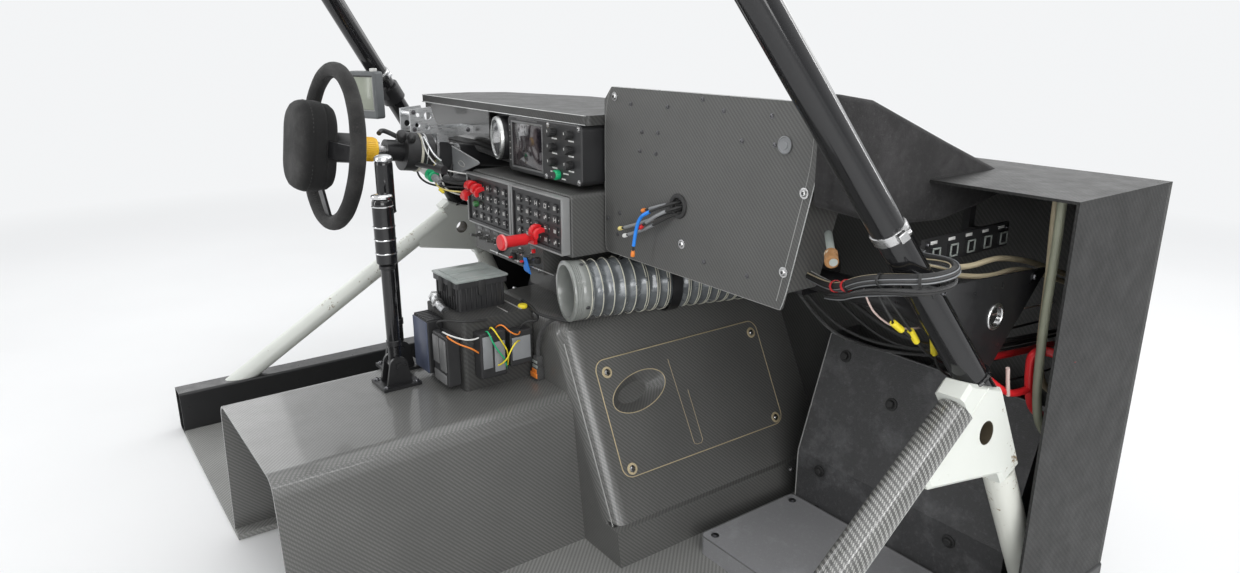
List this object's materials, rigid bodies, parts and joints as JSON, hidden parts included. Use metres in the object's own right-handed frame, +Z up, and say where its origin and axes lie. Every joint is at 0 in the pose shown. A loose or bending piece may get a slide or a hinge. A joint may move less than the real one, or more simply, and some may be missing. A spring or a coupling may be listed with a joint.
{
  "type": "front cockpit section of a rally car",
  "caption": "Front cockpit section of a rally-raid car: floor, tunnel, dash, console, duct, cage legs, turning steering wheel and two levers.",
  "frame": {"origin": "on the ground, under the middle of the floor pan and sills", "axes": "+X to the car's right, +Y to the car's front, +Z up"},
  "size_m": [1.72, 1.12, 1.2725],
  "materials": {
    "white_steel": "satin white paint with scuffs",
    "black_steel": "gloss black paint",
    "carbon": "satin carbon fibre weave",
    "carbon_gloss": "gloss carbon fibre",
    "floor_carbon": "matt black composite",
    "toe_plate": "matt grip-coated panel",
    "flock": "black flock",
    "black_plastic": "moulded black plastic",
    "black_metal": "satin black",
    "suede": "black suede",
    "yellow_metal": "anodised yellow",
    "bright_steel": "turned steel",
    "duct": "dark flexible duct",
    "red_plastic": "red plastic",
    "cable": "black braided cable sleeve"
  },
  "bodies": {
    "section": {"bulkhead": "floor_carbon", "cage_door_bars": "white_steel", "cage_gussets": "black_steel", "cage_header_bar": "black_steel", "cage_leg_left": "black_steel", "cage_leg_right": "black_steel", "cage_lower_legs": "white_steel", "cage_node_left": "white_steel", "cage_node_right": "white_steel", "codriver_panel_body": "carbon", "codriver_panel_plate": "carbon", "column_bracket": "black_metal", "column_hanger": "bright_steel", "column_housing": "black_metal", "column_side_plate": "black_metal", "console_housing": "carbon", "dash_bar": "black_steel", "dash_clamps": "black_metal", "dash_end_cover": "flock", "dash_top": "carbon_gloss", "display_pod": "black_plastic", "door_bar_sleeve": "carbon", "driver_fascia": "carbon_gloss", "duct_collar": "duct", "duct_hose": "duct", "duct_spigot": "duct", "duct_strap": "black_metal", "floor_pan_left": "floor_carbon", "floor_pan_right": "floor_carbon", "foot_plate": "toe_plate", "footwell_side_panels": "floor_carbon", "fuse_box": "black_plastic", "inspection_cover": "carbon", "keypads": "black_plastic", "leg_screen": "black_plastic", "leg_screen_clamp": "black_plastic", "lever_brackets": "black_metal", "panel_leads": "cable", "pedal_box": "black_metal", "pedals": "black_metal", "pull_handle": "red_plastic", "rear_tunnel": "carbon", "relay_modules": "black_plastic", "relay_plinth": "carbon", "round_gauge": "black_plastic", "scuttle_panel": "floor_carbon", "service_strip": "black_plastic", "side_loom": "cable", "sill_rails": "floor_carbon", "stalk_cluster": "black_plastic", "toe_board_codriver": "toe_plate", "toe_board_driver": "toe_plate", "tunnel_cover": "carbon", "tunnel_loom": "cable"},
    "steering_wheel": {"wheel_rim": "suede", "wheel_pad": "suede", "quick_release": "yellow_metal", "steering_shaft": "bright_steel"},
    "gear_lever": {"gear_lever": "black_metal"},
    "handbrake_lever": {"handbrake_lever": "black_metal"}
  },
  "joints": [
    {"name": "steering", "type": "hinge", "parent": "section", "child": "steering_wheel", "pos_m": [-0.4, -0.2545, 0.73], "axis": [0, 0.9917, -0.1288], "range_deg": [-450, 450]},
    {"name": "gear_shift", "type": "hinge", "parent": "section", "child": "gear_lever", "pos_m": [-0.12, -0.26, 0.342], "axis": [1, 0, 0], "range_deg": [-9, 9], "stiffness_Nm_per_rad": 12},
    {"name": "handbrake", "type": "hinge", "parent": "section", "child": "handbrake_lever", "pos_m": [-0.2, -0.222, 0.342], "axis": [1, 0, 0], "range_deg": [0, 22], "stiffness_Nm_per_rad": 12}
  ]
}
